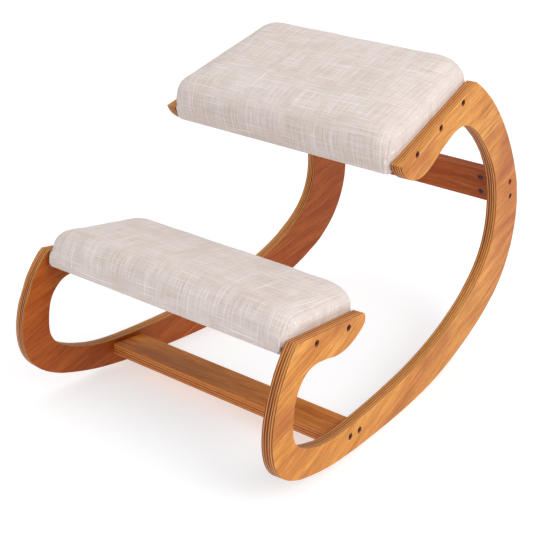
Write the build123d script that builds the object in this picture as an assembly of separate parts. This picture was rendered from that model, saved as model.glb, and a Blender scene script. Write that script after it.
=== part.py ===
from build123d import *
import math
import os

os.makedirs("parts", exist_ok=True)

# ---------------------------------------------------------------- driving dimensions (mm, degrees)
HALF_W = 224.0          # outer face of a side frame from the centre plane, at y = 0
TOE = 5.0               # each side frame turns in by this much toward the back
PLY = 18.0              # side frame thickness

SEAT_O = (-48.3, 421.2)     # front top corner of the seat arm, (u, z) in the side frame's plane
SEAT_E = (183.7, 488.6)     # rear top corner of the seat arm
KNEE_O = (-315.2, 253.2)    # front top corner of the knee arm
KNEE_E = (-142.3, 228.5)    # rear top corner of the knee arm

BOARD_T = 18.0          # seat and knee boards
FABRIC_T = 1.2
DUST_T = 0.8
STAPLE_STEP = 78.0
SEAT_TOP = 58.0         # height of the seat cushion over its board
SEAT_R = 26.0
SEAT_S = (-5.0, 246.0)  # front and rear of the seat cushion along the slope
KNEE_TOP = 44.0
KNEE_R = 22.0
KNEE_S = (-5.0, 180.0)
KNEE_DROP = 4.0         # the knee board sits this far under the arm's top edge

RAIL_C = (-168.0, 35.5)     # centre of the lower rail's section, (y, z)
RAIL_W, RAIL_T, RAIL_TILT = 62.0, 20.0, -4.4
STR_C = (341.0, 262.0)      # centre of the rear stretcher's section, (y, z)
STR_H, STR_T, STR_TILT = 60.0, 18.0, 11.7

BOLT_D, BOLT_HOLE_D = 6.0, 6.6
HEAD_D, HEAD_H = 10.0, 5.5
BORE_D, BORE_H = 10.6, 7.0
HEX_AF, HEX_DEEP = 5.0, 3.0
LONG_BOLT, SHORT_BOLT = 50.0, 25.0
NUT_D, NUT_L, NUT_IN = 10.0, 9.0, 34.0     # barrel nut, and its distance into the rail
INSERT_D, INSERT_L = 9.0, 12.5

SEAT_BOLTS_S = (47.0, 121.0, 194.0)
KNEE_BOLTS_S = (51.0, 136.0)
RAIL_BOLTS = ((-142.0, 33.0), (-168.5, 35.0))
STR_BOLTS = ((340.0, 275.7), (345.6, 248.3))

ST, CT = math.sin(math.radians(TOE)), math.cos(math.radians(TOE))
RIGHT = Plane(origin=(HALF_W, 0, 0), x_dir=(-ST, CT, 0), z_dir=(CT, ST, 0))
written = {}


def save(name, shape):
    export_step(shape, f"parts/{name}.step")
    written[name] = shape


def mirror_x(shape):
    return mirror(shape, about=Plane.YZ)


def solids(*items):
    out = []
    for it in items:
        out += list(it.solids())
    return out


def group(items):
    return Compound(children=solids(*items)) if len(items) > 1 else items[0]


# ---------------------------------------------------------------- side frame profile, (u, z) in its plane
# Rear arc, rolling runner and front bend, from the seat arm's rear corner round to the knee arm's front corner
OUTER = [
    (183.7, 488.6), (204.1, 476.3), (223.6, 462.7), (242.3, 447.9), (260.1, 432.0), (276.8, 415.1),
    (292.6, 397.2), (307.4, 378.6), (321.3, 359.2), (334.3, 339.3), (346.2, 318.7), (356.8, 297.3),
    (365.6, 275.2), (372.2, 252.3), (376.0, 228.8), (376.6, 205.0), (373.6, 181.4), (367.2, 158.5),
    (357.6, 136.7), (344.9, 116.6), (329.3, 98.6), (311.3, 83.0), (291.6, 69.7), (270.7, 58.3),
    (249.0, 48.4), (226.8, 39.8), (204.2, 32.0), (181.3, 25.0), (158.2, 18.6), (134.9, 13.1),
    (111.4, 8.7), (87.8, 5.4), (64.2, 3.1), (40.4, 1.5), (16.6, 0.5), (-7.2, 0.06),
    (-31.0, 0.06), (-54.8, 0.52), (-78.6, 1.3), (-102.4, 2.3), (-126.2, 3.5), (-150.0, 5.0),
    (-173.8, 6.9), (-197.4, 9.3), (-220.9, 12.5), (-244.3, 16.9), (-267.5, 22.5), (-290.3, 29.0),
    (-312.6, 37.5), (-333.6, 48.5), (-351.9, 63.1), (-365.1, 81.6), (-372.3, 103.4), (-374.2, 126.9),
    (-371.8, 150.6), (-365.6, 173.6), (-356.6, 195.6), (-345.5, 216.6), (-331.7, 236.1), (-315.2, 253.2)]
# Under side of the knee arm, front pocket, top of the runner, inside of the rear arc, under side of the seat arm
INNER = [
    (-142.3, 228.5), (-136.6, 221.8), (-137.4, 212.0), (-148.3, 203.0), (-166.1, 195.1), (-188.8, 190.0),
    (-212.8, 190.4), (-236.2, 195.8), (-258.2, 200.6), (-277.2, 201.2), (-292.7, 196.5), (-305.5, 186.5),
    (-315.5, 172.0), (-321.2, 152.4), (-323.5, 130.9), (-322.1, 112.1), (-314.7, 97.1), (-300.7, 84.5),
    (-280.9, 73.8), (-258.5, 65.5), (-235.1, 59.7), (-211.2, 56.1), (-187.2, 54.2), (-163.1, 53.4),
    (-138.9, 53.3), (-114.8, 53.4), (-90.7, 53.8), (-66.5, 54.5), (-42.4, 55.6), (-18.4, 57.1),
    (5.7, 59.1), (29.7, 61.8), (53.6, 65.2), (77.3, 69.4), (100.9, 74.6), (124.2, 80.8),
    (147.2, 88.1), (169.8, 96.5), (191.9, 106.1), (213.4, 117.2), (233.7, 130.1), (252.4, 145.3),
    (268.6, 163.2), (280.8, 184.0), (288.2, 206.9), (291.2, 230.8), (290.4, 254.9), (286.3, 278.7),
    (279.1, 301.7), (268.7, 323.4), (255.5, 343.6), (240.3, 362.3), (223.7, 379.9), (206.3, 396.6),
    (187.4, 411.5), (166.7, 423.0), (144.7, 428.4), (122.0, 426.7), (99.2, 419.5), (77.5, 409.2),
    (56.2, 397.9), (34.3, 388.7), (12.0, 385.0), (-9.6, 388.3), (-28.2, 396.9), (-41.2, 408.0),
    (-48.3, 421.2)]


def frame_face():
    return make_face([Spline(*OUTER), Line(KNEE_O, KNEE_E), Spline(*INNER), Line(SEAT_O, SEAT_E)])


def on_right(shape2d_or_3d):
    return RIGHT.location * shape2d_or_3d


def slope(o, e):
    """Plane of an arm's top: x along X, y up the slope, z out of it, origin under the front corner line."""
    uy0, uy1 = o[0] * CT, e[0] * CT
    b = math.atan2(e[1] - o[1], uy1 - uy0)
    return Plane(origin=(0, uy0, o[1]), x_dir=(1, 0, 0), z_dir=(0, -math.sin(b), math.cos(b))), b


SEAT_PL, SEAT_B = slope(SEAT_O, SEAT_E)
KNEE_PL, KNEE_B = slope(KNEE_O, KNEE_E)


def inner_x(y, inset=0.0):
    return HALF_W - (PLY + inset) / CT - y * ST / CT


def wedge(inset):
    """The space between the two side frames' inner faces."""
    y0, y1 = -480.0, 480.0
    pts = [(-inner_x(y0, inset), y0), (inner_x(y0, inset), y0), (inner_x(y1, inset), y1), (-inner_x(y1, inset), y1)]
    return extrude(make_face(Polyline(*pts, close=True)), 700, dir=(0, 0, 1)).moved(Location((0, 0, -50)))


def uz_on_arm(o, e, s, n):
    """(u, z) of a point s along an arm's top line and n out of it, in the side frame's plane."""
    L = math.hypot(e[0] - o[0], e[1] - o[1])
    t = ((e[0] - o[0]) / L, (e[1] - o[1]) / L)
    return (o[0] + t[0] * s - t[1] * n, o[1] + t[1] * s + t[0] * n)


SEAT_BOLTS = [uz_on_arm(SEAT_O, SEAT_E, s, -9.0) for s in SEAT_BOLTS_S]
KNEE_BOLTS = [uz_on_arm(KNEE_O, KNEE_E, s, -KNEE_DROP - 9.0) for s in KNEE_BOLTS_S]


def drill(points, radius, depth_from, depth_to):
    """Cylinders along the side frame's normal: depth is measured inward from its outer face."""
    out = []
    for u, z in points:
        c = Cylinder(radius, depth_to - depth_from, align=(Align.CENTER, Align.CENTER, Align.MAX))
        out.append(on_right(Location((u, z, -depth_from)) * c))
    return out


# ---------------------------------------------------------------- side frames
all_bolts = list(SEAT_BOLTS) + list(KNEE_BOLTS) + list(RAIL_BOLTS) + list(STR_BOLTS)
blank = on_right(extrude(frame_face(), -PLY))
frame_r = blank
for c in drill(all_bolts, BOLT_HOLE_D / 2, -1, PLY + 1) + drill(all_bolts, BORE_D / 2, -1, BORE_H):
    frame_r = frame_r - c
frame_r = frame_r.solid()
save("side_frame_right", frame_r)
save("side_frame_left", mirror_x(frame_r))


# ---------------------------------------------------------------- bolts, inserts and barrel nuts
def bolt(length):
    head = Cylinder(HEAD_D / 2, HEAD_H, align=(Align.CENTER, Align.CENTER, Align.MIN))
    head = chamfer(head.edges().group_by(Axis.Z)[-1], 0.5)
    sock = extrude(RegularPolygon(HEX_AF / 2, 6, major_radius=False), HEX_DEEP).moved(Location((0, 0, HEAD_H - HEX_DEEP)))
    shank = Cylinder(BOLT_D / 2, length, align=(Align.CENTER, Align.CENTER, Align.MAX))
    shank = chamfer(shank.edges().group_by(Axis.Z)[0], 0.6)
    return (head - sock + shank).solid()


def place_bolts(points, length):
    return [on_right(Location((u, z, -BORE_H)) * bolt(length)) for u, z in points]


def insert(points):
    """Threaded insert in a board's end: a grooved sleeve just inside the fabric."""
    out = []
    d0 = PLY + FABRIC_T + 0.3
    for u, z in points:
        body = Cylinder(INSERT_D / 2, INSERT_L, align=(Align.CENTER, Align.CENTER, Align.MAX))
        groove = Cylinder(INSERT_D / 2 + 1, 1.2) - Cylinder(INSERT_D / 2 - 0.7, 1.2)
        body = body - groove.moved(Location((0, 0, -6.2)))
        body = body - Cylinder(BOLT_D / 2 + 0.05, 40)
        out.append(on_right(Location((u, z, -d0)) * body))
    return out


for name, pts, length in (("seat", SEAT_BOLTS, SHORT_BOLT), ("knee", KNEE_BOLTS, SHORT_BOLT),
                          ("rail", RAIL_BOLTS, LONG_BOLT), ("stretcher", STR_BOLTS, LONG_BOLT)):
    g = place_bolts(pts, length)
    save(f"{name}_bolts_right", group(g))
    save(f"{name}_bolts_left", group([mirror_x(b) for b in g]))
for name, pts in (("seat", SEAT_BOLTS), ("knee", KNEE_BOLTS)):
    g = insert(pts)
    save(f"{name}_inserts_right", group(g))
    save(f"{name}_inserts_left", group([mirror_x(b) for b in g]))


# ---------------------------------------------------------------- lower rail and rear stretcher
def plank(c, w, t, tilt, edge):
    """A board along X, cut at both ends to the side frames' inner faces. w runs along Y before the tilt."""
    pl = Plane(origin=(0, c[0], c[1]), x_dir=(1, 0, 0),
               z_dir=(0, -math.sin(math.radians(tilt)), math.cos(math.radians(tilt))))
    b = Box(600, w, t)
    b = fillet(b.edges().filter_by(Axis.X), edge)
    return (pl.location * b), pl


rail, RAIL_PL = plank(RAIL_C, RAIL_W, RAIL_T, RAIL_TILT, 2.0)
stretcher, STR_PL = plank(STR_C, STR_H, STR_T, 90.0 + STR_TILT, 2.0)
between = wedge(0.0)
rail = (rail & between).solid()
stretcher = (stretcher & between).solid()


def nut_site(pl, uz):
    """Centre of a barrel nut: on the bolt's axis, NUT_IN past the side frame's inner face."""
    p = RIGHT.location * Location((uz[0], uz[1], -(PLY + NUT_IN)))
    v = p.position
    d = pl.z_dir
    k = (v - pl.origin).dot(d)
    return v, k, d


def barrel(pl, uz, face_sign, thick):
    """The nut, with its cross hole along the bolt, and its blind hole from the board's face."""
    v, k, d = nut_site(pl, uz)
    axis = d * face_sign
    nut_pl = Plane(origin=v, x_dir=(CT, ST, 0), z_dir=axis)
    nut = Cylinder(NUT_D / 2 - 0.1, NUT_L)
    slot = Box(NUT_D + 1, 1.4, 1.6).moved(Location((0, 0, NUT_L / 2 - 0.8)))
    nut = nut_pl.location * (nut - slot)
    cross = on_right(Location((uz[0], uz[1], -(PLY + NUT_IN))) * Cylinder(BOLT_D / 2 + 0.05, 40))
    hole_len = NUT_L / 2 + 1.0 + thick
    hole = nut_pl.location * Cylinder(NUT_D / 2, hole_len, align=(Align.CENTER, Align.CENTER, Align.MIN)).moved(
        Location((0, 0, -NUT_L / 2 - 0.5)))
    return (nut - cross).solid(), hole


for name, board, pl, pts, sign, thick in (("rail", rail, RAIL_PL, RAIL_BOLTS, -1, RAIL_T),
                                          ("stretcher", stretcher, STR_PL, STR_BOLTS, 1, STR_T)):
    nuts = []
    for uz in pts:
        nut, hole = barrel(pl, uz, sign, thick)
        nuts.append(nut)
        lane = on_right(Location((uz[0], uz[1], -PLY + 1)) *
                        Cylinder(BOLT_HOLE_D / 2, NUT_IN + 6.5, align=(Align.CENTER, Align.CENTER, Align.MAX)))
        board = board - hole - lane - mirror_x(hole) - mirror_x(lane)
    save(f"{name}_barrel_nuts_right", group(nuts))
    save(f"{name}_barrel_nuts_left", group([mirror_x(n) for n in nuts]))
    if name == "rail":
        save("lower_rail", board.solid())
    else:
        save("rear_stretcher", board.solid())


# ---------------------------------------------------------------- cushions
def ring_on(pl, b, s0, s1, end_inset):
    """Corners (x, s) of the space between the side frames on an arm's slope, from s0 to s1."""
    pts = []
    for s, sg in ((s0, -1), (s0, 1), (s1, 1), (s1, -1)):
        pts.append((sg * inner_x(pl.origin.Y + s * math.cos(b), end_inset), s))
    return pts


def cushion(pl, b, s0, s1, bottom, top, r, inset):
    """Closed block over a board with a rounded top. inset shrinks it evenly to give the layer inside."""
    s0, s1, top, r = s0 + inset, s1 - inset, top - inset, r - inset
    block = extrude(make_face(Polyline(*ring_on(pl, b, s0, s1, -6), close=True)), top - bottom)
    block = (pl.location * block.moved(Location((0, 0, bottom)))) & wedge(inset)
    block = block.solid()
    up = Axis(pl.origin, pl.z_dir)
    posts = [e for e in block.edges() if abs(e.tangent_at(0.5).dot(pl.z_dir)) > 0.9]
    block = fillet(posts, 0.55 * r)
    block = fillet(block.faces().sort_by(up)[-1].edges(), r)
    return block.solid()


def staple_row(pl, n0, corners, step):
    """Crowns lie on the dust sheet, legs go up into the board. corners: (x, s) going round."""
    out = []
    count = len(corners)
    for i in range(count):
        (x0, y0), (x1, y1) = corners[i], corners[(i + 1) % count]
        L = math.hypot(x1 - x0, y1 - y0)
        k = max(2, int(L // step))
        ang = math.degrees(math.atan2(y1 - y0, x1 - x0))
        for j in range(k):
            f = (j + 0.5) / k
            st = Box(10, 1.3, 0.6).moved(Location((0, 0, -0.3)))
            for sx in (-4.4, 4.4):
                st = st + Box(1.2, 0.7, 6.4).moved(Location((sx, 0, 2.6)))
            loc = Location((x0 + (x1 - x0) * f, y0 + (y1 - y0) * f, n0), (0, 0, ang))
            out.append((pl.location * loc * st).solid())
    return out


def upholstery(name, pl, b, S, top, r, drop, bolts):
    base = Plane(origin=pl.origin - pl.z_dir * drop, x_dir=(1, 0, 0), z_dir=pl.z_dir)
    s0, s1 = S
    outer = cushion(base, b, s0, s1, -BOARD_T - FABRIC_T, top + drop, r, 0.0)
    inner = cushion(base, b, s0, s1, -BOARD_T, top + drop, r, FABRIC_T)
    slab = base.location * Box(700, 700, BOARD_T, align=(Align.CENTER, Align.CENTER, Align.MAX))
    upper = base.location * Box(700, 700, 200, align=(Align.CENTER, Align.CENTER, Align.MIN))
    board = (inner & slab).solid()
    foam = (inner & upper).solid()

    def ring(inset):
        return ring_on(base, b, s0 + inset, s1 - inset, inset)

    window = base.location * extrude(make_face(Polyline(*ring(36), close=True)), -40)
    window = window & (base.location * Box(700, 700, 20, align=(Align.CENTER, Align.CENTER, Align.MAX)).moved(
        Location((0, 0, 0))))
    lower = base.location * Box(700, 700, 60, align=(Align.CENTER, Align.CENTER, Align.MAX)).moved(Location((0, 0, 0)))
    cover = outer - inner - (window & lower)
    dust = base.location * extrude(make_face(Polyline(*ring(10), close=True)), -DUST_T).moved(
        Location((0, 0, -BOARD_T - FABRIC_T)))
    staples = staple_row(base, -BOARD_T - FABRIC_T - DUST_T, ring(16), STAPLE_STEP)
    tool = Compound(children=[s for s in staples])
    lanes = drill(bolts, BOLT_HOLE_D / 2, PLY - 1, PLY + INSERT_L + 3)
    sites = drill(bolts, INSERT_D / 2, PLY + FABRIC_T + 0.3, PLY + FABRIC_T + INSERT_L + 0.3)
    for c in lanes:
        cover = cover - c - mirror_x(c)
        board = board - c - mirror_x(c)
    for c in sites:
        board = board - c - mirror_x(c)
    for s in staples:
        board = board - s
        dust = dust - s
        cover = cover - s
    save(f"{name}_board", board.solid())
    save(f"{name}_foam", foam)
    save(f"{name}_cover", cover.solid())
    save(f"{name}_dust_cover", dust.solid())
    save(f"{name}_staples", group([s for s in staples]))


upholstery("seat", SEAT_PL, SEAT_B, SEAT_S, SEAT_TOP, SEAT_R, 0.0, SEAT_BOLTS)
upholstery("knee", KNEE_PL, KNEE_B, KNEE_S, KNEE_TOP, KNEE_R, KNEE_DROP, KNEE_BOLTS)

lo = [min(tuple(s.bounding_box().min)[k] for s in written.values()) for k in range(3)]
hi = [max(tuple(s.bounding_box().max)[k] for s in written.values()) for k in range(3)]
print("nodes", len(written), "box", [round(v, 2) for v in lo], [round(v, 2) for v in hi])
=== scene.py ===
import math

import bmesh
import bpy
import numpy as np
from mathutils import Matrix, Vector, noise
from mathutils.bvhtree import BVHTree


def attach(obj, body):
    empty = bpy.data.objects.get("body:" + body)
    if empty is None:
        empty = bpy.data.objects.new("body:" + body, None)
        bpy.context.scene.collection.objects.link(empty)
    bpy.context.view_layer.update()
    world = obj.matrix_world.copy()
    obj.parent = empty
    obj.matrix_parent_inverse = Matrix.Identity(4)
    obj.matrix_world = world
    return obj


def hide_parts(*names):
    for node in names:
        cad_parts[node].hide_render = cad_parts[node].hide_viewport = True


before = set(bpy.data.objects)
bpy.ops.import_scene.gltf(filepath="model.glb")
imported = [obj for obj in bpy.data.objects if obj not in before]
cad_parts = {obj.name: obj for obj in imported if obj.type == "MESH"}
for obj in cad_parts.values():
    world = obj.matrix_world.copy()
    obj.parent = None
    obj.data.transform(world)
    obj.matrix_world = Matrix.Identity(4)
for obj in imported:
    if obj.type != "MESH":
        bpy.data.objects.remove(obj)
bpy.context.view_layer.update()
scene = bpy.context.scene
MM = 0.001

# ---------------------------------------------------------------- where the CAD model puts things (metres)
TOE = math.radians(5.0)
ST, CT = math.sin(TOE), math.cos(TOE)
HALF_W, PLY = 0.224, 0.018


def inner_x(y, inset=0.0):
    """x of the right side frame's inner face at y, less an inset."""
    return HALF_W - (PLY + inset) / CT - y * ST / CT


class Arm:
    """The sloping plane that carries a cushion: x across, s up the slope, n out of it."""

    def __init__(self, o, e, drop=0.0):
        y0, y1 = o[0] * CT, e[0] * CT
        self.b = math.atan2(e[1] - o[1], y1 - y0)
        self.c, self.k = math.cos(self.b), math.sin(self.b)
        self.y0, self.z0 = y0, o[1]
        self.y0 += drop * self.k
        self.z0 -= drop * self.c

    def to_frame(self, q):
        q = np.asarray(q, float)
        out = np.empty_like(q)
        out[..., 0] = q[..., 0]
        out[..., 1] = self.y0 + q[..., 1] * self.c - q[..., 2] * self.k
        out[..., 2] = self.z0 + q[..., 1] * self.k + q[..., 2] * self.c
        return out

    def to_arm(self, p):
        p = np.asarray(p, float)
        out = np.empty_like(p)
        dy, dz = p[..., 1] - self.y0, p[..., 2] - self.z0
        out[..., 0] = p[..., 0]
        out[..., 1] = dy * self.c + dz * self.k
        out[..., 2] = -dy * self.k + dz * self.c
        return out


SEAT = Arm((-0.0483, 0.4212), (0.1837, 0.4886))
KNEE = Arm((-0.3152, 0.2532), (-0.1423, 0.2285), drop=0.004)


# ---------------------------------------------------------------- node materials
class Mat:
    def __init__(self, name):
        self.m = bpy.data.materials.new(name)
        self.m.use_nodes = True
        self.t = self.m.node_tree
        self.t.nodes.clear()
        self.out = self.t.nodes.new("ShaderNodeOutputMaterial")
        self.bsdf = self.t.nodes.new("ShaderNodeBsdfPrincipled")
        self.t.links.new(self.bsdf.outputs[0], self.out.inputs[0])

    def node(self, kind, **props):
        n = self.t.nodes.new(kind)
        for k, v in props.items():
            setattr(n, k, v)
        return n

    def put(self, socket, value):
        if hasattr(value, "is_output"):
            self.t.links.new(value, socket)
        else:
            socket.default_value = value

    def math(self, op, a, b=None, c=None, clamp=False):
        n = self.node("ShaderNodeMath", operation=op, use_clamp=clamp)
        for s, v in zip(n.inputs, (a, b, c)):
            if v is not None:
                self.put(s, v)
        return n.outputs[0]

    def vmath(self, op, a, b=None, scale=None):
        n = self.node("ShaderNodeVectorMath", operation=op)
        self.put(n.inputs[0], a)
        if b is not None:
            self.put(n.inputs[1], b)
        if scale is not None:
            self.put(n.inputs["Scale"], scale)
        return n.outputs["Value"] if op in ("DOT_PRODUCT", "LENGTH", "DISTANCE") else n.outputs[0]

    def pos(self):
        return self.node("ShaderNodeTexCoord").outputs["Object"]

    def normal(self):
        return self.node("ShaderNodeNewGeometry").outputs["Normal"]

    def combine(self, x, y, z):
        n = self.node("ShaderNodeCombineXYZ")
        for s, v in zip(n.inputs, (x, y, z)):
            self.put(s, v)
        return n.outputs[0]

    def noise(self, vec, scale=1.0, detail=4.0, rough=0.5, distort=0.0):
        n = self.node("ShaderNodeTexNoise", noise_dimensions="3D")
        self.put(n.inputs["Vector"], vec)
        n.inputs["Scale"].default_value = scale
        n.inputs["Detail"].default_value = detail
        n.inputs["Roughness"].default_value = rough
        n.inputs["Distortion"].default_value = distort
        return n.outputs["Fac"]

    def ramp(self, fac, stops, interp="LINEAR"):
        n = self.node("ShaderNodeValToRGB")
        n.color_ramp.interpolation = interp
        els = n.color_ramp.elements
        while len(els) < len(stops):
            els.new(0.5)
        for e, (p, c) in zip(els, stops):
            e.position = p
            e.color = (*c, 1.0) if len(c) == 3 else c
        self.put(n.inputs[0], fac)
        return n.outputs[0]

    def remap(self, v, a, b, c=0.0, d=1.0, smooth=False):
        n = self.node("ShaderNodeMapRange", interpolation_type="SMOOTHSTEP" if smooth else "LINEAR", clamp=True)
        self.put(n.inputs[0], v)
        for i, x in enumerate((a, b, c, d)):
            n.inputs[1 + i].default_value = x
        return n.outputs[0]

    def mix(self, fac, a, b, blend="MIX"):
        n = self.node("ShaderNodeMix", data_type="RGBA", blend_type=blend)
        self.put(n.inputs["Factor"], fac)
        for s, v in ((n.inputs[6], a), (n.inputs[7], b)):
            if isinstance(v, tuple) and len(v) == 3:
                v = (*v, 1.0)
            self.put(s, v)
        return n.outputs[2]

    def fmix(self, fac, a, b):
        n = self.node("ShaderNodeMix", data_type="FLOAT")
        self.put(n.inputs[0], fac)
        self.put(n.inputs[2], a)
        self.put(n.inputs[3], b)
        return n.outputs[0]

    def bump(self, height, strength, dist, normal=None):
        n = self.node("ShaderNodeBump")
        n.inputs["Strength"].default_value = strength
        n.inputs["Distance"].default_value = dist
        self.put(n.inputs["Height"], height)
        if normal is not None:
            self.put(n.inputs["Normal"], normal)
        return n.outputs[0]


def plywood(name, nrm, along, up, d0, thick, plies, grain_deg, seed, tone=1.0, inner_shade=0.0, shade=None, painted_shade=None):
    """Stained plywood. nrm is the sheet's normal, d0 the place of its outer face on it; along and up span the sheet."""
    m = Mat(name)
    p = m.pos()
    a = m.vmath("DOT_PRODUCT", p, along)
    b = m.vmath("DOT_PRODUCT", p, up)
    depth = m.math("SUBTRACT", d0, m.vmath("DOT_PRODUCT", p, nrm))
    g = math.radians(grain_deg)
    ga = m.math("ADD", m.math("MULTIPLY", a, math.cos(g)), m.math("MULTIPLY", b, math.sin(g)))
    gb = m.math("SUBTRACT", m.math("MULTIPLY", b, math.cos(g)), m.math("MULTIPLY", a, math.sin(g)))
    # slow bend of the grain lines
    wob = m.noise(m.combine(m.math("MULTIPLY", ga, 2.2), m.math("MULTIPLY", gb, 4.0), seed), 1.0, 2.0)
    gb2 = m.math("ADD", gb, m.math("MULTIPLY", m.math("SUBTRACT", wob, 0.5), 0.075))
    side = m.math("MULTIPLY", m.math("ROUND", m.math("DIVIDE", depth, thick)), 3.7)
    fig = m.noise(m.combine(m.math("MULTIPLY", ga, 3.2), m.math("MULTIPLY", gb2, 26.0), m.math("ADD", side, seed)), 1.0, 5.0, 0.55, 0.5)
    fine = m.noise(m.combine(m.math("MULTIPLY", ga, 16.0), m.math("MULTIPLY", gb2, 330.0), m.math("ADD", side, seed + 4.0)), 1.0, 4.0, 0.6)
    pores = m.noise(m.combine(m.math("MULTIPLY", ga, 60.0), m.math("MULTIPLY", gb2, 1400.0), seed), 1.0, 2.0, 0.5)
    cloud = m.noise(m.combine(m.math("MULTIPLY", ga, 5.0), m.math("MULTIPLY", gb2, 9.0), m.math("ADD", side, seed + 9.0)), 1.0, 3.0, 0.55)

    def c(r, g_, b_):
        return (r * tone, g_ * tone, b_ * tone)

    base = m.ramp(fig, [(0.25, c(0.42, 0.125, 0.013)), (0.40, c(0.56, 0.200, 0.024)), (0.53, c(0.66, 0.268, 0.038)),
                        (0.72, c(0.75, 0.350, 0.072))])
    base = m.mix(m.remap(fine, 0.44, 0.66, 0.0, 0.66), base, c(0.41, 0.120, 0.011))
    base = m.mix(m.remap(cloud, 0.54, 0.72, 0.0, 0.66, True), base, c(0.36, 0.088, 0.008))
    base = m.mix(m.remap(pores, 0.57, 0.68, 0.0, 0.60), base, c(0.24, 0.058, 0.008))
    streak = m.noise(m.combine(m.math("MULTIPLY", ga, 7.0), m.math("MULTIPLY", gb2, 120.0), m.math("ADD", side, seed + 2.0)), 1.0, 3.0, 0.6)
    base = m.mix(m.remap(streak, 0.56, 0.72, 0.0, 0.62), base, c(0.80, 0.40, 0.110))
    base = m.mix(m.remap(streak, 0.42, 0.30, 0.0, 0.50), base, c(0.34, 0.085, 0.008))
    if shade is not None:
        # one stretch of the sheet, given by its along and up ranges, is multiplied darker
        (a0_, a1_, b0_, b1_), by = shade
        darker_stretch = m.math("MULTIPLY", m.remap(a, a0_, a1_, 0.0, 1.0, True), m.remap(b, b0_, b1_, 0.0, 1.0, True))
        base = m.mix(darker_stretch, base, m.mix(1.0, base, by, "MULTIPLY"))
    # painted shade: the faces turned in toward the cushions are darkened and reddened for the shade they lie in under
    # the cushions
    inner_shade_mask = m.remap(depth, thick * 0.35, thick * 0.65)
    base = m.mix(m.math("MULTIPLY", inner_shade_mask, inner_shade), base, m.mix(1.0, base, (0.60, 0.34, 0.30), "MULTIPLY"))
    # edge plies: long-grain plies stay light, end-grain plies drink the stain
    run = m.noise(m.combine(m.math("MULTIPLY", a, 14.0), m.math("MULTIPLY", b, 14.0), seed), 1.0, 2.0)
    dd = m.math("ADD", depth, m.math("MULTIPLY", m.math("SUBTRACT", run, 0.5), 0.0009))
    k = m.math("DIVIDE", dd, thick / plies)
    k = m.math("ADD", k, m.math("MULTIPLY", m.math("SINE", m.math("MULTIPLY", k, 2.3)), 0.22))
    tri = m.math("PINGPONG", m.math("ADD", k, 0.5), 1.0)
    which = m.math("FLOOR", k)
    tint = m.noise(m.combine(m.math("MULTIPLY", which, 7.31), m.math("MULTIPLY", a, 3.0), m.math("MULTIPLY", b, 3.0)), 1.0, 2.0)
    strand = m.noise(m.combine(m.math("MULTIPLY", a, 55.0), m.math("MULTIPLY", b, 55.0), m.math("MULTIPLY", depth, 1500.0)), 1.0, 4.0, 0.6)
    light = m.mix(m.remap(strand, 0.35, 0.7), c(0.72, 0.34, 0.100), c(0.50, 0.185, 0.038))
    dark = m.mix(m.remap(strand, 0.30, 0.7), c(0.27, 0.062, 0.018), c(0.10, 0.020, 0.009))
    dark = m.mix(m.remap(tint, 0.46, 0.66, 0.0, 0.7), dark, c(0.40, 0.13, 0.034))
    # where the rim runs along the grain its end-grain plies show only as thin lines
    gdir = tuple(al * math.cos(g) + upv * math.sin(g) for al, upv in zip(along, up))
    across = m.math("ABSOLUTE", m.vmath("DOT_PRODUCT", m.normal(), gdir))
    lo_ = m.remap(across, 0.20, 0.75, 0.54, 0.30)
    band = m.math("DIVIDE", m.math("SUBTRACT", tri, lo_), 0.14, clamp=True)
    edge = m.mix(m.math("MULTIPLY", band, m.remap(across, 0.15, 0.80, 0.72, 1.0)), light, dark)
    facing = m.math("ABSOLUTE", m.vmath("DOT_PRODUCT", m.normal(), nrm))
    on_edge = m.remap(facing, 0.80, 0.55, 0.0, 1.0, True)
    col = m.mix(on_edge, base, edge)
    # painted highlight along the rounded edge, together with rubbed wear: the edge is drawn lighter
    arris_wear_and_highlight = m.math("MULTIPLY", m.remap(facing, 0.30, 0.62, 0.0, 1.0, True), m.remap(facing, 0.985, 0.90, 0.0, 1.0, True))
    col = m.mix(m.math("MULTIPLY", arris_wear_and_highlight, 0.42), col, c(0.80, 0.42, 0.13))
    # painted shade: the whole sheet is multiplied by this tint, standing for the shade it lies in
    if painted_shade is not None:
        col = m.mix(1.0, col, painted_shade, "MULTIPLY")
    m.put(m.bsdf.inputs["Base Color"], col)
    rough = m.math("ADD", m.remap(fine, 0.3, 0.7, 0.34, 0.47), m.math("MULTIPLY", on_edge, 0.13))
    m.put(m.bsdf.inputs["Roughness"], rough)
    m.bsdf.inputs["Coat Weight"].default_value = 0.04
    m.bsdf.inputs["Coat Roughness"].default_value = 0.24
    m.bsdf.inputs["Specular IOR Level"].default_value = 0.16
    h = m.fmix(on_edge, m.math("ADD", fine, m.math("MULTIPLY", pores, 0.6)), m.math("ADD", strand, m.math("MULTIPLY", tri, 1.2)))
    m.put(m.bsdf.inputs["Normal"], m.bump(h, 0.35, 0.00012))
    return m.m


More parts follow.
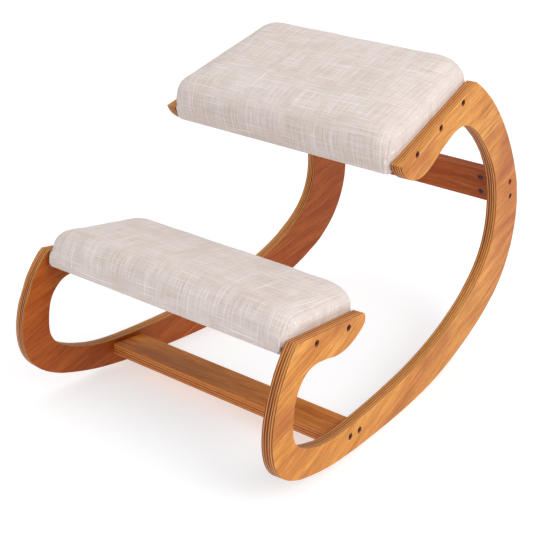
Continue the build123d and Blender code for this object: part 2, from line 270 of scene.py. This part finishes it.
def linen(name, arm, seed, lift=1.0):
    """Slubby linen: threads follow the cushion's own directions on its top, sides and end panels."""
    m = Mat(name)
    p = m.pos()
    x = m.vmath("DOT_PRODUCT", p, (1, 0, 0))
    s = m.vmath("DOT_PRODUCT", p, (0, arm.c, arm.k))
    n = m.vmath("DOT_PRODUCT", p, (0, -arm.k, arm.c))
    nx = m.math("ABSOLUTE", m.vmath("DOT_PRODUCT", m.normal(), (1, 0, 0)))
    end = m.remap(nx, 0.62, 0.78, 0.0, 1.0, True)
    warp = m.fmix(end, x, s)                      # across the warp threads
    weft = m.fmix(end, m.math("ADD", s, n), n)    # across the weft threads
    wav = m.noise(p, 30.0, 2.0)
    wav2 = m.math("MULTIPLY", m.math("SUBTRACT", wav, 0.5), 0.0016)
    u, v = m.math("ADD", warp, wav2), m.math("ADD", weft, wav2)
    pitch = 0.00105
    su = m.math("SINE", m.math("MULTIPLY", u, 2 * math.pi / pitch))
    sv = m.math("SINE", m.math("MULTIPLY", v, 2 * math.pi / pitch))
    over = m.math("MULTIPLY", su, sv)
    # single threads: thin across, long along, uneven
    t1 = m.noise(m.combine(m.math("MULTIPLY", u, 620.0), m.math("MULTIPLY", v, 13.0), seed), 1.0, 3.0, 0.6)
    t2 = m.noise(m.combine(m.math("MULTIPLY", u, 15.0), m.math("MULTIPLY", v, 620.0), seed + 5.0), 1.0, 3.0, 0.6)
    # slubs: rare thick threads that run far
    k1 = m.noise(m.combine(m.math("MULTIPLY", u, 560.0), m.math("MULTIPLY", v, 11.0), seed + 11.0), 1.0, 1.0, 0.4)
    k2 = m.noise(m.combine(m.math("MULTIPLY", u, 11.0), m.math("MULTIPLY", v, 560.0), seed + 17.0), 1.0, 1.0, 0.4)
    patch = m.noise(p, 26.0, 4.0, 0.6)
    blot = m.noise(m.combine(m.math("MULTIPLY", u, 55.0), m.math("MULTIPLY", v, 90.0), seed + 23.0), 1.0, 3.0, 0.6)
    base = m.ramp(m.math("ADD", m.math("MULTIPLY", t1, 0.5), m.math("MULTIPLY", t2, 0.5)),
                  [(0.33, (0.510, 0.412, 0.362)), (0.45, (0.655, 0.566, 0.525)), (0.55, (0.735, 0.655, 0.628)), (0.68, (0.83, 0.765, 0.742))])
    base = m.mix(m.remap(patch, 0.42, 0.68, 0.0, 0.36, True), base, (0.575, 0.470, 0.412))
    base = m.mix(m.remap(blot, 0.52, 0.74, 0.0, 0.24, True), base, (0.53, 0.430, 0.375))
    base = m.mix(m.remap(k1, 0.65, 0.72, 0.0, 0.70), base, (0.90, 0.86, 0.845))
    base = m.mix(m.remap(k2, 0.65, 0.72, 0.0, 0.70), base, (0.90, 0.86, 0.845))
    fleck = m.noise(m.combine(m.math("MULTIPLY", u, 420.0), m.math("MULTIPLY", v, 420.0), seed + 41.0), 1.0, 2.0, 0.5)
    base = m.mix(m.remap(fleck, 0.63, 0.72, 0.0, 0.45), base, (0.44, 0.335, 0.270))
    if lift != 1.0:
        base = m.mix(1.0, base, (lift, lift, lift), "MULTIPLY")
    base = m.mix(m.remap(over, -1.0, -0.15, 0.18, 0.0), base, (0.40, 0.33, 0.28))
    m.put(m.bsdf.inputs["Base Color"], base)
    m.put(m.bsdf.inputs["Roughness"], m.remap(t1, 0.3, 0.7, 0.86, 0.97))
    m.bsdf.inputs["Specular IOR Level"].default_value = 0.18
    m.bsdf.inputs["Sheen Weight"].default_value = 0.16
    m.bsdf.inputs["Sheen Roughness"].default_value = 0.45
    m.bsdf.inputs["Sheen Tint"].default_value = (1.0, 0.965, 0.94, 1.0)
    h = m.math("ADD", m.math("MULTIPLY", over, 0.30), m.math("ADD", t1, t2))
    h = m.math("ADD", h, m.math("ADD", m.remap(k1, 0.62, 0.72, 0.0, 0.9), m.remap(k2, 0.62, 0.72, 0.0, 0.9)))
    m.put(m.bsdf.inputs["Normal"], m.bump(h, 0.42, 0.00022))
    return m.m


def steel(name, base, dark, metallic, rough, scale):
    m = Mat(name)
    p = m.pos()
    f = m.noise(p, scale, 5.0, 0.6)
    g = m.noise(p, scale * 7.0, 3.0, 0.6)
    m.put(m.bsdf.inputs["Base Color"], m.mix(m.remap(f, 0.38, 0.66), base, dark))
    m.bsdf.inputs["Metallic"].default_value = metallic
    m.put(m.bsdf.inputs["Roughness"], m.remap(g, 0.3, 0.7, rough - 0.08, rough + 0.12))
    m.put(m.bsdf.inputs["Normal"], m.bump(g, 0.25, 0.00006))
    return m.m


def dust_cloth(name, arm):
    """Thin spun-bonded underside cloth with its small square emboss."""
    m = Mat(name)
    p = m.pos()
    x = m.vmath("DOT_PRODUCT", p, (1, 0, 0))
    s = m.vmath("DOT_PRODUCT", p, (0, arm.c, arm.k))
    cx = m.math("SINE", m.math("MULTIPLY", x, 2 * math.pi / 0.0024))
    cs = m.math("SINE", m.math("MULTIPLY", s, 2 * math.pi / 0.0024))
    dots = m.remap(m.math("MULTIPLY", cx, cs), 0.25, 0.7)
    fib = m.noise(m.combine(m.math("MULTIPLY", x, 420.0), m.math("MULTIPLY", s, 420.0), 2.0), 1.0, 5.0, 0.65, 0.8)
    col = m.ramp(fib, [(0.3, (0.018, 0.017, 0.017)), (0.55, (0.034, 0.032, 0.031)), (0.75, (0.06, 0.057, 0.055))])
    col = m.mix(m.math("MULTIPLY", dots, 0.5), col, (0.012, 0.011, 0.011))
    m.put(m.bsdf.inputs["Base Color"], col)
    m.put(m.bsdf.inputs["Roughness"], m.remap(fib, 0.3, 0.7, 0.75, 0.92))
    m.bsdf.inputs["Specular IOR Level"].default_value = 0.25
    m.put(m.bsdf.inputs["Normal"], m.bump(m.math("SUBTRACT", fib, m.math("MULTIPLY", dots, 0.8)), 0.5, 0.00012))
    return m.m


def foam_mat(name):
    m = Mat(name)
    p = m.pos()
    vor = m.node("ShaderNodeTexVoronoi")
    m.put(vor.inputs["Vector"], p)
    vor.inputs["Scale"].default_value = 900.0
    n = m.noise(p, 40.0, 3.0)
    m.put(m.bsdf.inputs["Base Color"], m.mix(n, (0.78, 0.72, 0.55), (0.70, 0.62, 0.42)))
    m.put(m.bsdf.inputs["Roughness"], m.remap(n, 0.3, 0.7, 0.85, 0.95))
    m.put(m.bsdf.inputs["Normal"], m.bump(vor.outputs["Distance"], 0.4, 0.0004))
    return m.m


def use(obj, mat):
    obj.data.materials.clear()
    obj.data.materials.append(mat)


# ---------------------------------------------------------------- meshes
def new_object(name, mesh):
    o = bpy.data.objects.new(name, mesh)
    scene.collection.objects.link(o)
    return o


def bevelled_copy(node, name, nrm, width, small):
    """The CAD node's own surface, welded, with its arrises rounded."""
    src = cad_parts[node]
    bm = bmesh.new()
    bm.from_mesh(src.data)
    bmesh.ops.remove_doubles(bm, verts=bm.verts, dist=2e-6)
    bmesh.ops.dissolve_degenerate(bm, dist=1e-6, edges=bm.edges)
    flat = math.radians(0.4)
    bmesh.ops.dissolve_limit(bm, angle_limit=flat, verts=bm.verts, edges=bm.edges, use_dissolve_boundaries=False)
    bm.normal_update()
    n = Vector(nrm)
    big, bore = [], []
    for e in bm.edges:
        if len(e.link_faces) != 2:
            continue
        f, g = e.link_faces
        fa, ga = abs(f.normal.dot(n)), abs(g.normal.dot(n))
        if (fa > 0.99) == (ga > 0.99):
            continue
        side = g if fa > 0.99 else f
        # a bore's wall is a short facet that faces the bore's axis: tell it by its size
        (bore if side.calc_area() < 2.2e-5 and side.calc_perimeter() < 0.05 and max(x.calc_length() for x in side.edges) < 0.0125
         else big).append(e)
    if big:
        bmesh.ops.bevel(bm, geom=big, offset=width, offset_type="OFFSET", segments=3, profile=0.5, affect="EDGES", clamp_overlap=False, loop_slide=True)
    bore = [e for e in bore if e.is_valid]
    if bore:
        bmesh.ops.bevel(bm, geom=bore, offset=small, offset_type="OFFSET", segments=2, profile=0.5, affect="EDGES", clamp_overlap=False, loop_slide=True)
    bmesh.ops.triangulate(bm, faces=[f for f in bm.faces if len(f.verts) > 4], quad_method="BEAUTY", ngon_method="BEAUTY")
    bm.normal_update()
    for f in bm.faces:
        f.smooth = True
    for e in bm.edges:
        if len(e.link_faces) == 2 and e.calc_face_angle(0.0) > math.radians(38):
            e.smooth = False
    me = bpy.data.meshes.new(name)
    bm.to_mesh(me)
    bm.free()
    o = new_object(name, me)
    o.modifiers.new("normals", "WEIGHTED_NORMAL").keep_sharp = True
    return o


def cushion_base(arm, s0, s1, bottom, top, r, rx, crown, shrink):
    """Rounded, crowned block in arm coordinates, as a closed grid, a little smaller than the finished cushion."""
    nx, ns, nn = 64, 40, 16
    bm = bmesh.new()
    cache = {}
    T = top - shrink

    def half(s, n):
        y = arm.y0 + s * arm.c - n * arm.k
        return inner_x(y, 0.0012)

    def place(i, j, k):
        if (i, j, k) in cache:
            return cache[(i, j, k)]
        n = bottom + (T - bottom) * k / nn
        w = min(1.0, max(0.0, (n - 0.002) / 0.016))
        a0, a1 = s0 + shrink * w, s1 - shrink * w
        s = a0 + (a1 - a0) * j / ns
        h = half(s, n)
        x = -h + 2 * h * i / nx
        if n > T - r:
            # the roll is longer toward the ends than toward the front and rear
            q = Vector((max(-h + rx, min(h - rx, x)), max(a0 + r, min(a1 - r, s)), T - r))
            d = Vector(((x - q.x) / rx, (s - q.y) / r, (n - q.z) / r))
            if d.length > 1e-9:
                d.normalize()
                p = q + Vector((d.x * rx, d.y * r, d.z * r))
            else:
                p = Vector((x, s, n))
        else:
            w = min(1.0, max(0.0, n / max(1e-6, T - r))) ** 1.3
            rh, rg = 0.010 + (r - 0.010) * w, 0.012 + (rx - 0.012) * w
            q = Vector((max(-h + rg, min(h - rg, x)), max(a0 + rh, min(a1 - rh, s)), n))
            d = Vector(((x - q.x) / rg, (s - q.y) / rh, 0.0))
            p = q + Vector((d.x * rg, d.y * rh, 0.0)) / d.length if d.length > 1.0 else Vector((x, s, n))
        up = max(0.0, (p.z - bottom) / (T - bottom))
        fx = 1 - (p.x / h) ** 2
        fs = 1 - ((p.y - (a0 + a1) / 2) / ((a1 - a0) / 2)) ** 2
        p.z += crown * max(0.0, fx) ** 0.8 * max(0.0, fs) ** 0.8 * up
        v = bm.verts.new(arm.to_frame((p.x, p.y, p.z)))
        cache[(i, j, k)] = v
        return v

    def quad(a, b, c, d):
        bm.faces.new((place(*a), place(*b), place(*c), place(*d)))

    for i in range(nx):
        for j in range(ns):
            quad((i, j, nn), (i + 1, j, nn), (i + 1, j + 1, nn), (i, j + 1, nn))
            quad((i, j, 0), (i, j + 1, 0), (i + 1, j + 1, 0), (i + 1, j, 0))
    for i in range(nx):
        for k in range(nn):
            quad((i, 0, k), (i + 1, 0, k), (i + 1, 0, k + 1), (i, 0, k + 1))
            quad((i, ns, k), (i, ns, k + 1), (i + 1, ns, k + 1), (i + 1, ns, k))
    for j in range(ns):
        for k in range(nn):
            quad((0, j, k), (0, j, k + 1), (0, j + 1, k + 1), (0, j + 1, k))
            quad((nx, j, k), (nx, j + 1, k), (nx, j + 1, k + 1), (nx, j, k + 1))
    bmesh.ops.recalc_face_normals(bm, faces=bm.faces)
    return bm


def coords(me):
    co = np.empty(len(me.vertices) * 3)
    me.vertices.foreach_get("co", co)
    return co.reshape(-1, 3)


def set_coords(me, co):
    me.vertices.foreach_set("co", np.asarray(co, np.float32).ravel())
    me.update()


def vertex_normals(me):
    no = np.empty(len(me.vertices) * 3)
    me.vertices.foreach_get("normal", no)
    return no.reshape(-1, 3)


def hold_in_place(co, arm, s0, s1, bottom, top_cap, side_gap, drop):
    """Flat only where it rests: the frames' inner faces at its ends and the board's underside."""
    q = arm.to_arm(co)
    over = OVERHANG * np.clip((q[:, 2] - drop - 0.002) / 0.010, 0, 1)
    lim = HALF_W - (PLY + side_gap) / CT - co[:, 1] * ST / CT + over
    q[:, 0] = np.clip(q[:, 0], -lim, lim)
    q[:, 2] = np.clip(q[:, 2], bottom, top_cap)
    q[:, 1] = np.clip(q[:, 1], s0, s1)
    return arm.to_frame(q)


def cushion(name, arm, s0, s1, bottom, top, r, rx, crown, cap, mat, wave_seed, slack):
    """Padded cushion: an undersized block is inflated as cloth, capped, held against the frames, then seamed."""
    bm = cushion_base(arm, s0, s1, bottom, top, r, rx, crown, slack)
    me = bpy.data.meshes.new(name)
    bm.to_mesh(me)
    bm.free()
    o = new_object(name, me)
    rm = o.modifiers.new("remesh", "REMESH")
    rm.mode, rm.voxel_size = "VOXEL", 0.005
    dg = bpy.context.evaluated_depsgraph_get()
    me2 = bpy.data.meshes.new_from_object(o.evaluated_get(dg))
    o.modifiers.remove(rm)
    o.data = me2
    start = coords(o.data)
    q = arm.to_arm(start)
    g = o.vertex_groups.new(name="pin")
    low = q[:, 2] < 0.001
    g.add([int(i) for i in np.nonzero(low)[0]], 1.0, "REPLACE")
    cl = o.modifiers.new("cloth", "CLOTH")
    st = cl.settings
    st.quality = 5
    st.mass = 0.3
    st.tension_stiffness = st.compression_stiffness = 12
    st.shear_stiffness = 6
    st.bending_stiffness = 8.0
    st.use_pressure = True
    st.uniform_pressure_force = 4.0
    st.vertex_group_mass = "pin"
    st.effector_weights.gravity = 0.0
    cl.collision_settings.use_collision = False
    cl.collision_settings.use_self_collision = False
    cl.point_cache.frame_start, cl.point_cache.frame_end = 1, 20
    for f in range(1, 21):
        scene.frame_set(f)
    dg = bpy.context.evaluated_depsgraph_get()
    done = bpy.data.meshes.new_from_object(o.evaluated_get(dg))
    o.modifiers.remove(cl)
    o.vertex_groups.clear()
    # each point keeps its movement out of the surface, evened over its neighbours and capped
    normal0 = vertex_normals(me2)
    out = ((coords(done) - start) * normal0).sum(1)
    ends = np.empty(len(me2.edges) * 2, np.int64)
    me2.edges.foreach_get("vertices", ends)
    ends = ends.reshape(-1, 2)
    count = np.bincount(ends.ravel(), minlength=len(start))
    for _ in range(16):
        total = np.bincount(ends[:, 0], out[ends[:, 1]], len(start)) + np.bincount(ends[:, 1], out[ends[:, 0]], len(start))
        out = 0.4 * out + 0.6 * total / np.maximum(count, 1)
    print(name, "swelling mm", (np.percentile(out[~low], (1, 25, 50, 75, 99)) * 1000).round(2))
    mid = float(np.median(out[~low]))
    out = np.clip(slack + (out - mid) * 0.5, slack - 0.0022, min(cap, slack + 0.0024))
    out *= np.clip((q[:, 2] - 0.001) / 0.014, 0, 1)
    set_coords(done, start + normal0 * out[:, None])
    o.data = done
    scene.frame_set(1)
    # ease the voxel steps, then one subdivision
    bm = bmesh.new()
    bm.from_mesh(o.data)
    for _ in range(4):
        bmesh.ops.smooth_vert(bm, verts=bm.verts, factor=0.5, use_axis_x=True, use_axis_y=True, use_axis_z=True)
    bm.to_mesh(o.data)
    bm.free()
    sub = o.modifiers.new("sub", "SUBSURF")
    sub.levels = sub.render_levels = 1
    dg = bpy.context.evaluated_depsgraph_get()
    me3 = bpy.data.meshes.new_from_object(o.evaluated_get(dg))
    o.modifiers.remove(sub)
    o.data = me3
    # bring the crown to the finished height, and give the fabric its slow unevenness
    co = coords(me3)
    q = arm.to_arm(co)
    up = q[:, 2] > 0.008
    tall, f0, f1 = np.percentile(q[:, 2], 99.0), q[up, 1].min(), q[up, 1].max()
    print(name, "before fitting: top", round(tall * 1000, 2), "front", round(f0 * 1000, 2), "rear", round(f1 * 1000, 2), "all", (q.min(0) * 1000).round(2), (q.max(0) * 1000).round(2))
    w = np.clip(q[:, 2] / tall, 0, 1)
    q[:, 2] += (top + crown - tall) * w
    w = np.clip(q[:, 2] / 0.012, 0, 1)
    q[:, 1] += w * (s0 + (q[:, 1] - f0) * (s1 - s0) / (f1 - f0) - q[:, 1])
    # pulled tight over the board's edge
    b0, b1 = q[~up, 1].min(), q[~up, 1].max()
    q[:, 1] += (1 - w) * (s0 + (q[:, 1] - b0) * (s1 - s0) / (b1 - b0) - q[:, 1])
    rb = 0.0045
    core = np.stack([np.clip(q[:, 1], s0 + rb, s1 - rb), np.maximum(q[:, 2], bottom + rb)], 1)
    off = q[:, 1:3] - core
    dist = np.linalg.norm(off, axis=1)
    pull = (q[:, 2] < 0.006) & (dist > 0.0008)
    q[pull, 1:3] = core[pull] + off[pull] / dist[pull, None] * rb
    no = vertex_normals(me3)
    co = arm.to_frame(q)
    amp = np.array([noise.noise(Vector(p) * 22.0 + Vector((wave_seed, 0, 0))) * 0.0007
                    + noise.noise(Vector(p) * 60.0 + Vector((0, wave_seed, 0))) * 0.00022 for p in co])
    amp *= np.clip((q[:, 2] - bottom - 0.01) / 0.02, 0, 1)
    co = co + no * amp[:, None]
    # the ends swell until they rest on the frames, up to their shoulders
    q = arm.to_arm(co)
    lim = HALF_W - (PLY + 0.0004) / CT - co[:, 1] * ST / CT
    span = np.abs(q[:, 0]).max() / lim[np.abs(q[:, 0]).argmax()]
    q[:, 0] /= min(1.0, span)
    drop = 0.004 if arm is KNEE else 0.0
    # soft bulge of the end panels above the arms
    bulge = np.clip((q[:, 2] - drop - 0.002) / 0.012, 0, 1) * np.clip(1 - (lim - np.abs(q[:, 0])) / 0.05, 0, 1)
    q[:, 0] += np.sign(q[:, 0]) * bulge * OVERHANG
    co = arm.to_frame(q)
    set_coords(me3, hold_in_place(co, arm, s0 - 0.004, s1 + 0.004, bottom, top + crown + 0.002, 0.0004, drop))
    # seam: edge loops cut in parallel with the frame, then drawn in
    bm = bmesh.new()
    bm.from_mesh(me3)
    for sg in (-1, 1):
        nrm = Vector((sg * CT, ST, 0))
        for inset in SEAM_CUTS:
            d = HALF_W * CT - PLY - inset
            geom = list(bm.verts) + list(bm.edges) + list(bm.faces)
            bmesh.ops.bisect_plane(bm, geom=geom, dist=1e-6, plane_co=nrm * d, plane_no=nrm)
    bm.normal_update()
    moved = []
    for v in bm.verts:
        n_arm = -(v.co.y - arm.y0) * arm.k + (v.co.z - arm.z0) * arm.c
        fade = min(1.0, max(0.0, (n_arm - bottom - 0.001) / 0.004))
        if fade <= 0:
            continue
        sg = 1 if v.co.x > 0 else -1
        inset = HALF_W * CT - PLY - (v.co.x * sg * CT + v.co.y * ST)
        t = abs(inset - SEAM_IN) / 0.0021
        if t < 1.0:
            moved.append((v, v.normal.copy() * (-0.0013 * (1 - t) ** 1.3 * fade)))
    for v, d in moved:
        v.co += d
    for f in bm.faces:
        f.smooth = True
    bm.to_mesh(me3)
    bm.free()
    use(o, mat)
    return o


SEAM_IN = 0.0060
OVERHANG = 0.0028
SEAM_CUTS = (SEAM_IN - 0.0021, SEAM_IN - 0.0009, SEAM_IN - 0.0004, SEAM_IN, SEAM_IN + 0.0004, SEAM_IN + 0.0009, SEAM_IN + 0.0021)


def stitches(name, arm, body, s0, s1, bottom, top, mat, inset=0.0098, pitch=0.0042, length=0.0027, rad=0.00042):
    """Top-stitching beside each end seam, laid on the cushion's surface."""
    bvh = BVHTree.FromObject(body, bpy.context.evaluated_depsgraph_get())
    bm = bmesh.new()
    sc, nc = (s0 + s1) / 2, (bottom + top) / 2 - 0.01
    for sg in (-1, 1):
        pts = []
        for i in range(720):
            ang = math.radians(-28 + 236 * i / 719)
            ds, dn = math.cos(ang), math.sin(ang)
            s, n = sc + ds * 0.4, nc + dn * 0.4

            def at(s_, n_):
                y = arm.y0 + s_ * arm.c - n_ * arm.k
                return Vector(arm.to_frame((sg * inner_x(y, inset), s_, n_)))
            a, b = at(s, n), at(sc, nc)
            hit, nor, _, _ = bvh.ray_cast(a, (b - a).normalized(), (b - a).length)
            if hit is None:
                continue
            if Vector(arm.to_arm(hit)).z < bottom + 0.003:
                continue
            pts.append((hit, nor))
        if len(pts) < 8:
            continue
        acc = [0.0]
        for (p, _), (q, _) in zip(pts, pts[1:]):
            acc.append(acc[-1] + (q - p).length)
        d, i = 0.0, 0
        while d < acc[-1] - pitch:
            while acc[i + 1] < d + length / 2:
                i += 1
            p, nor = pts[i]
            tan = (pts[min(i + 2, len(pts) - 1)][0] - pts[max(i - 2, 0)][0]).normalized()
            side = tan.cross(nor).normalized()
            c = p + nor * 0.00012
            rings = []
            for f, k in ((-0.5, 0.25), (-0.36, 0.85), (0.0, 1.0), (0.36, 0.85), (0.5, 0.25)):
                dip = -0.00035 * (2 * f) ** 2
                cc = c + tan * (length * f) + nor * dip
                rings.append([bm.verts.new(cc + (side * math.cos(w) + nor * math.sin(w)) * rad * k)
                              for w in (2 * math.pi * j / 6 for j in range(6))])
            for r0, r1 in zip(rings, rings[1:]):
                for j in range(6):
                    bm.faces.new((r0[j], r0[(j + 1) % 6], r1[(j + 1) % 6], r1[j]))
            bm.faces.new(list(reversed(rings[0])))
            bm.faces.new(rings[-1])
            d += pitch
    bmesh.ops.recalc_face_normals(bm, faces=bm.faces)
    for f in bm.faces:
        f.smooth = True
    me = bpy.data.meshes.new(name)
    bm.to_mesh(me)
    bm.free()
    o = new_object(name, me)
    use(o, mat)
    return o


# ---------------------------------------------------------------- wood
RN, LN = (CT, ST, 0.0), (-CT, ST, 0.0)
# both frames carry painted shade on the faces turned in toward the cushions
wood_r = plywood("ply_right", RN, (-ST, CT, 0.0), (0, 0, 1), HALF_W * CT, PLY, 9, 17.0, 1.7, inner_shade=1.0, shade=((0.20, 0.33, 0.05, 0.17), (0.84, 0.67, 0.52)))
wood_l = plywood("ply_left", LN, (ST, CT, 0.0), (0, 0, 1), HALF_W * CT, PLY, 9, 17.0, 6.3, inner_shade=1.0)


def plank_wood(name, c, tilt, thick, seed, plies, painted_shade):
    t = math.radians(tilt)
    nrm = (0.0, -math.sin(t), math.cos(t))
    across = (0.0, math.cos(t), math.sin(t))
    d0 = c[0] * nrm[1] + c[1] * nrm[2] + thick / 2
    return plywood(name, nrm, (1, 0, 0), across, d0, thick, plies, 1.5, seed, painted_shade=painted_shade)


# painted shade: the rail and the stretcher are darkened as whole pieces for the shade they sit in, the stretcher deeper
# and redder
wood_rail = plank_wood("ply_rail", (-0.168, 0.0355), -4.4, 0.020, 3.1, 9, (1.0, 0.80, 0.70))
wood_str = plank_wood("ply_stretcher", (0.341, 0.262), 101.7, 0.018, 8.4, 9, (0.72, 0.42, 0.50))

for side, nrm, mat in (("right", RN, wood_r), ("left", LN, wood_l)):
    piece = bevelled_copy(f"side_frame_{side}", f"rocker_frame_{side}", nrm, 0.0013, 0.0004)
    use(piece, mat)
    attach(piece, "root")
    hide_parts(f"side_frame_{side}")

use(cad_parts["lower_rail"], wood_rail)
use(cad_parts["rear_stretcher"], wood_str)

# ---------------------------------------------------------------- metal and underside
black = steel("bolt_dark_bronze", (0.115, 0.040, 0.055), (0.048, 0.018, 0.026), 0.45, 0.46, 700.0)
zinc = steel("zinc_plate", (0.50, 0.50, 0.49), (0.34, 0.34, 0.35), 1.0, 0.36, 500.0)
wire = steel("staple_wire", (0.56, 0.56, 0.55), (0.38, 0.38, 0.38), 1.0, 0.33, 900.0)
for n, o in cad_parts.items():
    if "bolts" in n:
        use(o, black)
    elif "barrel_nuts" in n:
        use(o, black)
    elif "inserts" in n:
        use(o, zinc)
    elif "staples" in n:
        use(o, wire)
use(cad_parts["seat_dust_cover"], dust_cloth("dust_seat", SEAT))
use(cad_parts["knee_dust_cover"], dust_cloth("dust_knee", KNEE))
for n in ("seat", "knee"):
    arm = SEAT if n == "seat" else KNEE
    nrm = (0.0, -arm.k, arm.c)
    d0 = arm.y0 * nrm[1] + arm.z0 * nrm[2]
    board = plywood(f"board_{n}", nrm, (1, 0, 0), (0.0, arm.c, arm.k), d0, 0.018, 9, 0.0, 12.0 if n == "seat" else 15.0)
    core = bevelled_copy(f"{n}_board", f"{n}_plywood_board", nrm, 0.0055, 0.0004)
    use(core, board)
    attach(core, "root")
    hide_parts(f"{n}_board")

# ---------------------------------------------------------------- cushions
linen_seat, linen_knee = linen("linen_seat", SEAT, 2.0), linen("linen_knee", KNEE, 31.0, 1.0)
thread = linen("linen_thread", SEAT, 57.0)
BOTTOM = -0.0191
seat = cushion("seat_cushion", SEAT, -0.0055, 0.245, BOTTOM, 0.0525, 0.027, 0.038, 0.003, 0.010, linen_seat, 3.0, 0.006)
knee = cushion("knee_cushion", KNEE, -0.0055, 0.180, BOTTOM, 0.0435, 0.024, 0.038, 0.003, 0.010, linen_knee, 9.0, 0.005)
for piece, arm, n, s1, top in ((seat, SEAT, "seat", 0.245, 0.0525), (knee, KNEE, "knee", 0.180, 0.0435)):
    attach(piece, "root")
    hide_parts(f"{n}_cover", f"{n}_foam")
    st = stitches(f"{n}_seam_stitches", arm, piece, -0.0055, s1, BOTTOM, top, thread)
    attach(st, "root")

# ---------------------------------------------------------------- floor, light, camera
bm = bmesh.new()
bmesh.ops.create_grid(bm, x_segments=40, y_segments=40, size=9.0)
me = bpy.data.meshes.new("floor")
bm.to_mesh(me)
bm.free()
floor = new_object("floor", me)
floor.location = (0, 0, -0.0003)
fm = Mat("floor_paint")
fn = fm.noise(fm.pos(), 3.0, 3.0)
fm.put(fm.bsdf.inputs["Base Color"], fm.mix(fn, (0.585, 0.595, 0.615), (0.605, 0.615, 0.63)))
fm.put(fm.bsdf.inputs["Roughness"], fm.remap(fn, 0.3, 0.7, 0.62, 0.70))
fm.bsdf.inputs["Specular IOR Level"].default_value = 0.2
fm.bsdf.inputs["Emission Color"].default_value = (1.0, 1.0, 1.0, 1.0)
fm.bsdf.inputs["Emission Strength"].default_value = 0.54
use(floor, fm.m)

world = bpy.data.worlds.new("studio")
scene.world = world
world.use_nodes = True
bg = world.node_tree.nodes.get("Background") or world.node_tree.nodes.new("ShaderNodeBackground")
bg.inputs[0].default_value = (1.0, 1.0, 1.0, 1.0)
bg.inputs[1].default_value = 0.66


def area(name, loc, target, size, power, color=(1, 1, 1)):
    light = bpy.data.lights.new(name, "AREA")
    light.shape = "DISK"
    light.size = size
    light.energy = power
    light.color = color
    o = bpy.data.objects.new(name, light)
    scene.collection.objects.link(o)
    o.location = loc
    o.rotation_euler = (Vector(target) - Vector(loc)).to_track_quat("-Z", "Y").to_euler()
    return o


area("key", (2.6, -0.5, 1.9), (0, 0, 0.25), 2.0, 44.0, (1.0, 0.985, 0.97))
area("top", (-0.2, 0.2, 3.0), (0, 0, 0.2), 2.6, 16.0)
area("fill", (-1.0, -2.8, 1.4), (0, 0, 0.25), 2.0, 2.5)

cam_data = bpy.data.cameras.new("camera")
cam_data.sensor_width = 36.0
cam_data.lens = 1327.8 / 533.0 * 36.0
cam_data.clip_start, cam_data.clip_end = 0.05, 60.0
cam = bpy.data.objects.new("camera", cam_data)
scene.collection.objects.link(cam)
cam.location = (1.2062, -1.5424, 1.0804)
cam.rotation_euler = (math.radians(90 - 24.65), 0.0, math.radians(39.37))
scene.camera = cam

scene.view_settings.view_transform = "Standard"
scene.view_settings.look = "None"
scene.view_settings.exposure = 0.0
scene.view_settings.gamma = 1.0
